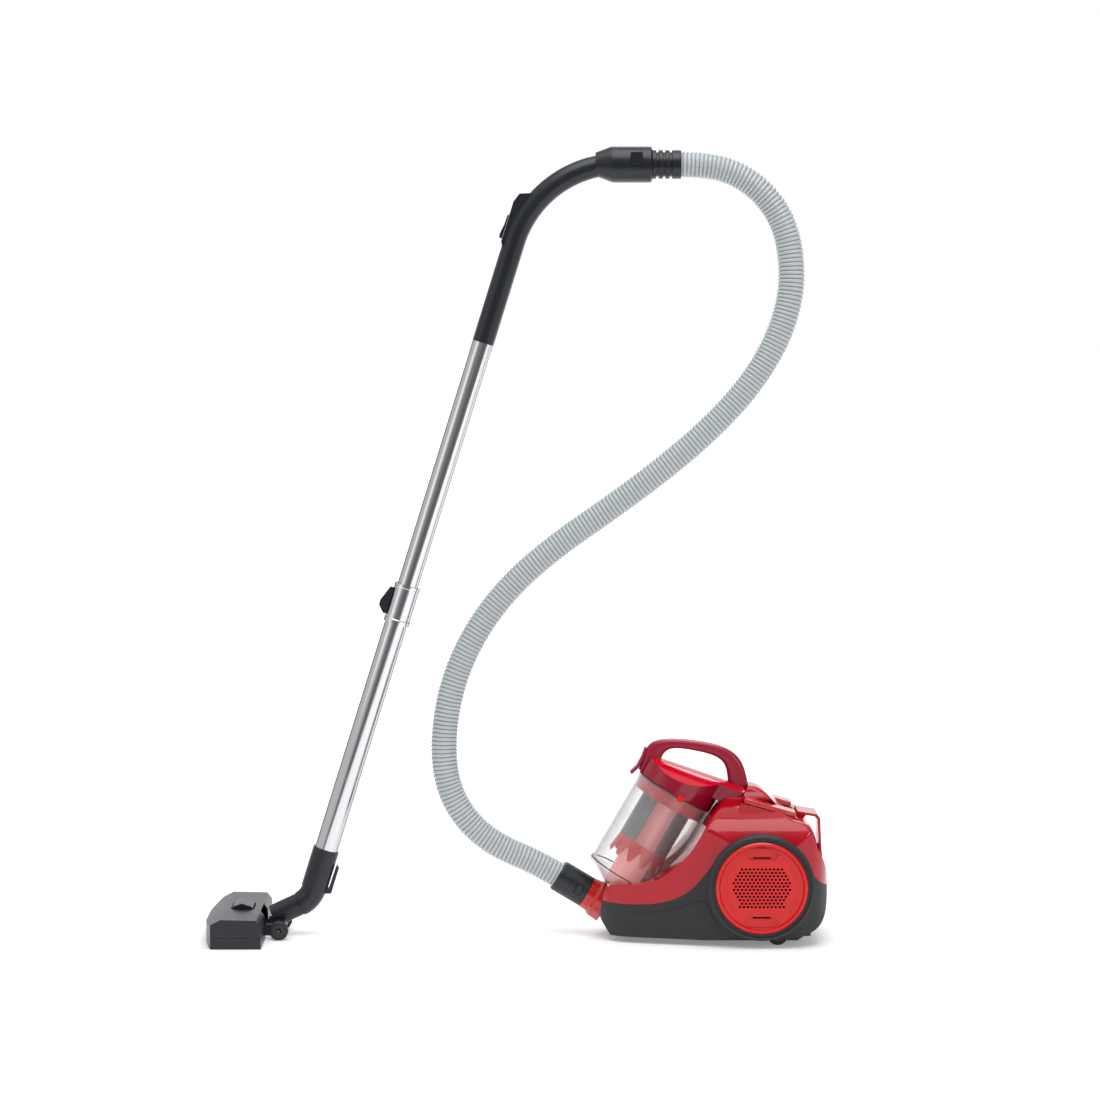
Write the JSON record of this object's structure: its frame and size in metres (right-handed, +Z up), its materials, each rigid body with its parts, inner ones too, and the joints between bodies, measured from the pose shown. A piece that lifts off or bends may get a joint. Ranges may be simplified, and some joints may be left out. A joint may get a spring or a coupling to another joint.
{
  "type": "canister vacuum cleaner",
  "caption": "Bagless canister vacuum cleaner with a lift-out cyclone bin, ribbed hose, bent handle, telescopic wand and tilting floor head.",
  "frame": {"origin": "on the floor, midway between the floor head's nose and the canister's back, on the plane of symmetry", "axes": "+Z up, +X from the floor head towards the back of the canister, +Y across the canister"},
  "size_m": [0.9321, 0.26, 1.1859],
  "materials": {
    "crimson_gloss": "glossy injection moulding",
    "scarlet_gloss": "glossy injection moulding",
    "raspberry_satin": "satin injection moulding",
    "clear_scarlet": "tinted clear plastic",
    "clear_plastic": "clear plastic",
    "clear_pink": "pale tinted clear plastic",
    "smoke_plastic": "smoked clear plastic",
    "charcoal_matte": "fine grained matte plastic",
    "slate_satin": "satin plastic",
    "hose_grey": "ribbed flexible plastic",
    "chromed_tube": "polished chromed steel",
    "wheel_rubber": "moulded soft tread",
    "seal_rubber": "soft seal",
    "filter_foam": "open foam and pleated fleece",
    "plain_steel": "plain steel",
    "bristle_black": "dense nylon bristle"
  },
  "bodies": {
    "canister": {"chassis": "charcoal_matte", "upper_body": "crimson_gloss", "bin_cradle": "crimson_gloss", "side_rings": "charcoal_matte", "inlet_socket": "clear_scarlet", "inlet_seal": "seal_rubber", "air_duct": "charcoal_matte", "rear_grab_handle": "crimson_gloss", "cord_outlet": "charcoal_matte", "motor_housing": "charcoal_matte", "reel_spindle": "charcoal_matte", "exhaust_filters": "filter_foam", "chassis_screws": "plain_steel", "pedal_spring_power": "plain_steel", "pedal_spring_rewind": "plain_steel"},
    "bin": {"bin_cup": "clear_plastic", "bin_base_flap": "clear_plastic", "flap_seal": "seal_rubber", "cyclone_tube": "clear_pink", "mesh_shroud": "smoke_plastic", "cyclone_skirt": "clear_scarlet", "cyclone_cap": "clear_scarlet"},
    "lid": {"bin_lid": "crimson_gloss", "lid_seal": "seal_rubber", "foam_filter": "filter_foam", "carry_handle": "raspberry_satin"},
    "latch": {"lid_latch": "scarlet_gloss"},
    "lever": {"release_lever": "raspberry_satin"},
    "power_pedal": {"pedal_power": "clear_scarlet"},
    "rewind_pedal": {"pedal_rewind": "clear_scarlet"},
    "reel": {"cord_reel": "charcoal_matte"},
    "rotor": {"motor_rotor": "plain_steel"},
    "castor": {"castor_fork": "charcoal_matte"},
    "castor_roller": {"castor_wheel": "wheel_rubber"},
    "left_wheel": {"rear_wheel_left": "wheel_rubber"},
    "right_wheel": {"rear_wheel_right": "wheel_rubber"},
    "left_cover": {"exhaust_cover_left": "scarlet_gloss"},
    "right_cover": {"exhaust_cover_right": "scarlet_gloss"},
    "hose": {"hose_cuff": "slate_satin", "hose": "hose_grey", "strain_relief": "slate_satin"},
    "left_button": {"cuff_button_left": "slate_satin"},
    "right_button": {"cuff_button_right": "slate_satin"},
    "handle": {"grip": "slate_satin", "swivel_collar": "slate_satin", "upper_tube": "chromed_tube"},
    "collar_key": {"collar_button": "slate_satin"},
    "air_valve": {"valve_slider": "slate_satin"},
    "lower_wand": {"lower_tube": "chromed_tube", "telescope_sleeve": "chromed_tube", "wand_socket": "slate_satin", "elbow": "slate_satin"},
    "wand_catch": {"telescope_trigger": "slate_satin"},
    "neck": {"neck": "slate_satin"},
    "head": {"head_base": "slate_satin", "head_cover": "slate_satin", "head_axle": "plain_steel"},
    "head_rollers": {"head_wheels": "wheel_rubber"},
    "rocker": {"brush_pedal": "slate_satin"},
    "brushes": {"brush_strips": "bristle_black"}
  },
  "joints": [
    {"name": "bin_lift", "type": "slide", "parent": "canister", "child": "bin", "axis": [0.5, 0, 0.866], "range_m": [0, 0.22]},
    {"name": "lid_lift", "type": "slide", "parent": "bin", "child": "lid", "axis": [0.5, 0, 0.866], "range_m": [0, 0.08]},
    {"name": "latch_flip", "type": "hinge", "parent": "bin", "child": "latch", "pos_m": [0.24463, -0.0614, 0.21175], "axis": [0.866, 0, -0.5], "range_deg": [0, 25], "stiffness_Nm_per_rad": 0.02},
    {"name": "lever_lift", "type": "hinge", "parent": "lid", "child": "lever", "pos_m": [0.1965, 0, 0.2835], "axis": [0, 1, 0], "range_deg": [0, 15], "stiffness_Nm_per_rad": 0.05},
    {"name": "power_press", "type": "hinge", "parent": "canister", "child": "power_pedal", "pos_m": [0.34218, -0.058, 0.21255], "axis": [0, 1, 0], "range_deg": [0, 4], "stiffness_Nm_per_rad": 4, "springref_deg": -2.86, "deforming": ["pedal_spring_power"]},
    {"name": "rewind_press", "type": "hinge", "parent": "canister", "child": "rewind_pedal", "pos_m": [0.34218, 0.058, 0.21255], "axis": [0, 1, 0], "range_deg": [0, 4], "stiffness_Nm_per_rad": 4, "springref_deg": -2.86, "deforming": ["pedal_spring_rewind"]},
    {"name": "reel_spin", "type": "hinge", "parent": "canister", "child": "reel", "pos_m": [0.365, 0, 0.091], "axis": [0, 1, 0], "continuous": true},
    {"name": "rotor_spin", "type": "hinge", "parent": "canister", "child": "rotor", "pos_m": [0.365, 0, 0.091], "axis": [0, 1, 0], "continuous": true},
    {"name": "castor_swivel", "type": "hinge", "parent": "canister", "child": "castor", "pos_m": [0.181, 0, 0.02], "axis": [0, 0, 1], "continuous": true},
    {"name": "castor_spin", "type": "hinge", "parent": "castor", "child": "castor_roller", "pos_m": [0.173, 0, 0.0095], "axis": [0, 1, 0], "continuous": true},
    {"name": "left_wheel_spin", "type": "hinge", "parent": "canister", "child": "left_wheel", "pos_m": [0.3907, -0.087, 0.015], "axis": [0, 1, 0], "continuous": true},
    {"name": "right_wheel_spin", "type": "hinge", "parent": "canister", "child": "right_wheel", "pos_m": [0.3907, 0.087, 0.015], "axis": [0, 1, 0], "continuous": true},
    {"name": "left_cover_pull", "type": "slide", "parent": "canister", "child": "left_cover", "axis": [0, -1, 0], "range_m": [0, 0.04]},
    {"name": "right_cover_pull", "type": "slide", "parent": "canister", "child": "right_cover", "axis": [0, 1, 0], "range_m": [0, 0.04]},
    {"name": "hose_unplug", "type": "slide", "parent": "canister", "child": "hose", "axis": [-0.859, 0, 0.512], "range_m": [0, 0.055]},
    {"name": "left_button_press", "type": "slide", "parent": "hose", "child": "left_button", "axis": [0, 1, 0], "range_m": [0, 0.0015], "stiffness_N_per_m": 400, "springref_m": -0.0005},
    {"name": "right_button_press", "type": "slide", "parent": "hose", "child": "right_button", "axis": [0, -1, 0], "range_m": [0, 0.0015], "stiffness_N_per_m": 400, "springref_m": -0.0005},
    {"name": "handle_swivel", "type": "hinge", "parent": "hose", "child": "handle", "pos_m": [0.2035, 0, 1.1587], "axis": [1, 0, 0], "continuous": true},
    {"name": "collar_button_press", "type": "slide", "parent": "handle", "child": "collar_key", "axis": [0, 1, 0], "range_m": [0, 0.0015], "stiffness_N_per_m": 400, "springref_m": -0.0005},
    {"name": "valve_slide", "type": "slide", "parent": "handle", "child": "air_valve", "axis": [0.2974, 0, 0.9548], "range_m": [0, 0.018]},
    {"name": "telescope", "type": "slide", "parent": "handle", "child": "lower_wand", "axis": [0.2974, 0, 0.9548], "range_m": [0, 0.3]},
    {"name": "catch_slide", "type": "slide", "parent": "lower_wand", "child": "wand_catch", "axis": [0.2974, 0, 0.9548], "range_m": [0, 0.004], "stiffness_N_per_m": 300, "springref_m": -0.001},
    {"name": "head_swivel", "type": "hinge", "parent": "lower_wand", "child": "neck", "pos_m": [-0.32553, 0, 0.047], "axis": [0.9063, 0, 0.4226], "range_deg": [-90, 90]},
    {"name": "head_tilt", "type": "hinge", "parent": "neck", "child": "head", "pos_m": [-0.3548, 0, 0.014], "axis": [0, 1, 0], "range_deg": [-45, 15]},
    {"name": "head_wheel_spin", "type": "hinge", "parent": "head", "child": "head_rollers", "pos_m": [-0.3548, 0, 0.014], "axis": [0, 1, 0], "continuous": true},
    {"name": "rocker_tip", "type": "hinge", "parent": "head", "child": "rocker", "pos_m": [-0.411, 0, 0.0435], "axis": [0, 1, 0], "range_deg": [0, 8]},
    {"name": "brush_drop", "type": "slide", "parent": "head", "child": "brushes", "axis": [0, 0, -1], "range_m": [0, 0.004]}
  ],
  "couplings": [
    {"joint": "right_button_press", "follows": "left_button_press", "ratio": 1},
    {"joint": "brush_drop", "follows": "rocker_tip", "m_per_rad": 0.0286}
  ]
}
